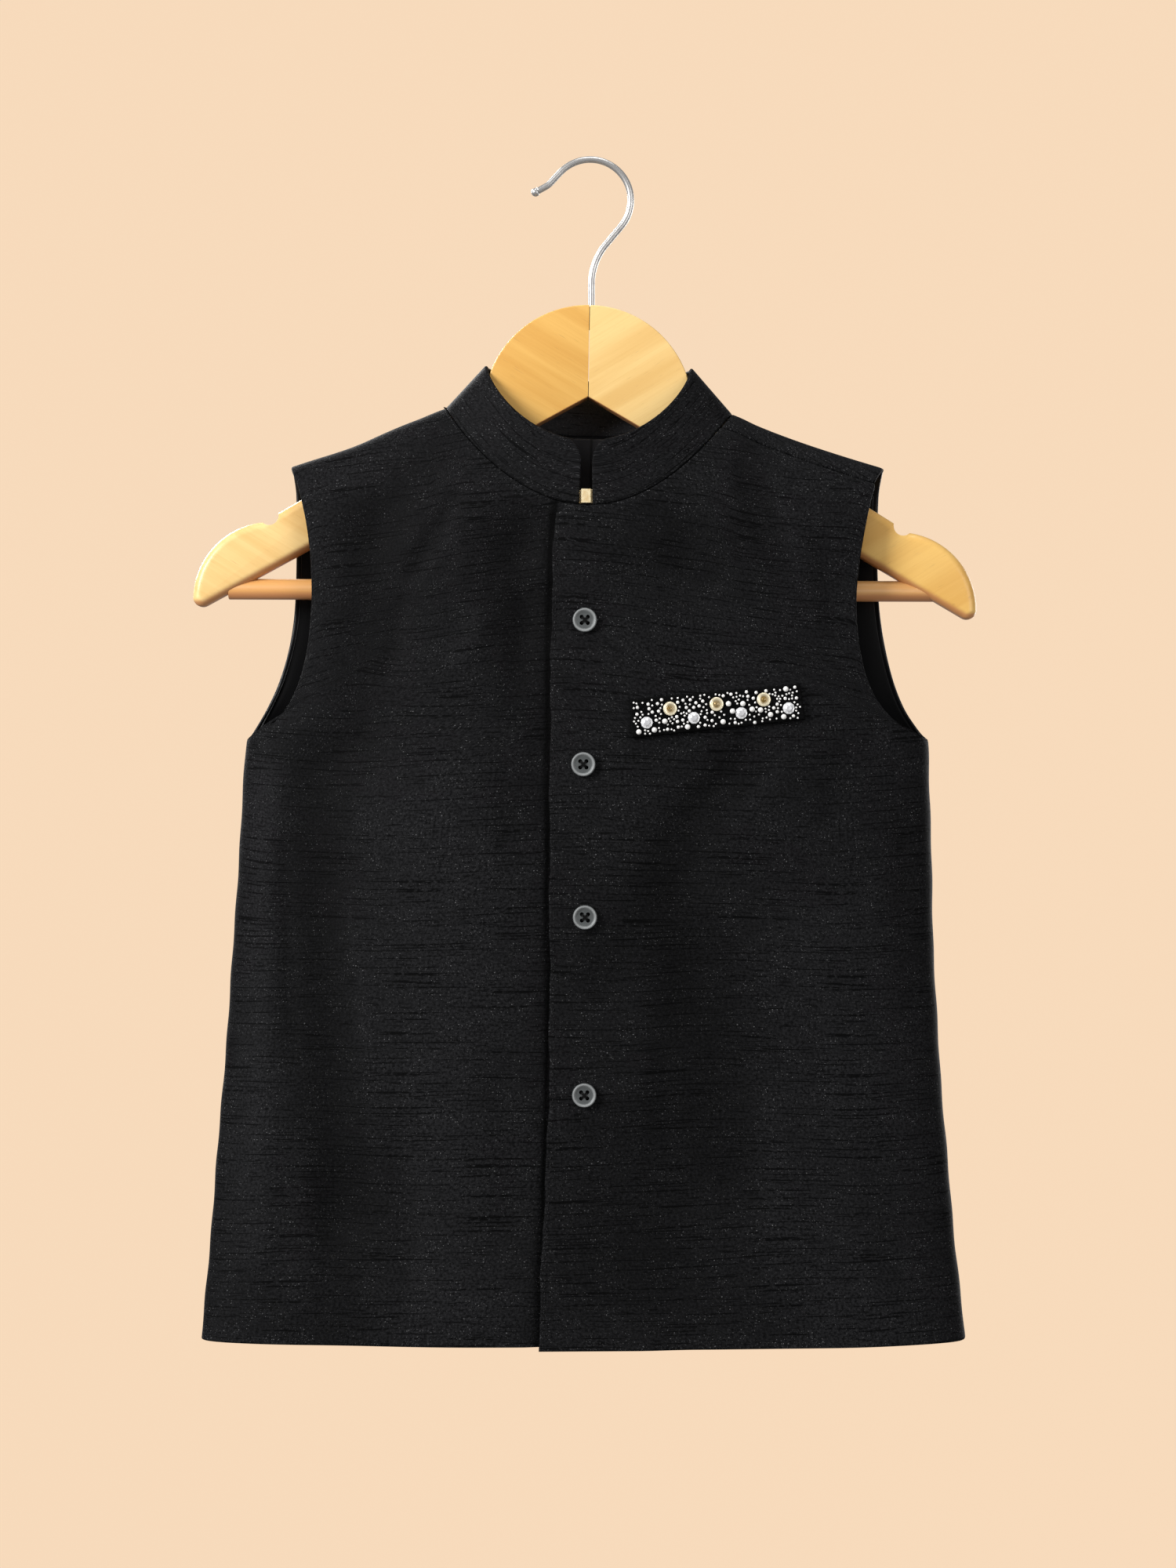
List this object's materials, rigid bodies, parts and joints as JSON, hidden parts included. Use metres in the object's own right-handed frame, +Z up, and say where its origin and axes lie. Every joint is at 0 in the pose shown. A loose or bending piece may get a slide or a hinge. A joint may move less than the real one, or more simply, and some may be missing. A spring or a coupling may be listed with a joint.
{
  "type": "nehru jacket on hanger",
  "caption": "Sleeveless black nehru jacket with a stand collar, lapped buttoned front and beaded pocket mouth, hung on a wooden hanger with a trouser bar and a wire hook.",
  "frame": {"origin": "inside top of the hook, where a clothes rail carries the hanger", "axes": "+Z up along the jacket's height, -Y out of the jacket's front, +X towards the wearer's left"},
  "size_m": [0.3591, 0.0602, 0.5441],
  "materials": {
    "black_dupion": "slubbed",
    "black_satin": "smooth satin",
    "grey_button": "satin",
    "gilt_brass": "polished",
    "pale_wood": "clear lacquer",
    "bright_steel": "bright plated"
  },
  "bodies": {
    "root": {"back_panel": "black_dupion", "front_left": "black_dupion", "front_right": "black_dupion", "back_lining": "black_satin", "collar": "black_dupion", "pocket_welt": "black_dupion", "button_1": "grey_button", "button_2": "grey_button", "button_3": "grey_button", "button_4": "grey_button", "collar_clasp": "gilt_brass", "hanger_half_left": "pale_wood", "hanger_half_right": "pale_wood", "trouser_bar": "pale_wood", "hook": "bright_steel"}
  },
  "joints": []
}
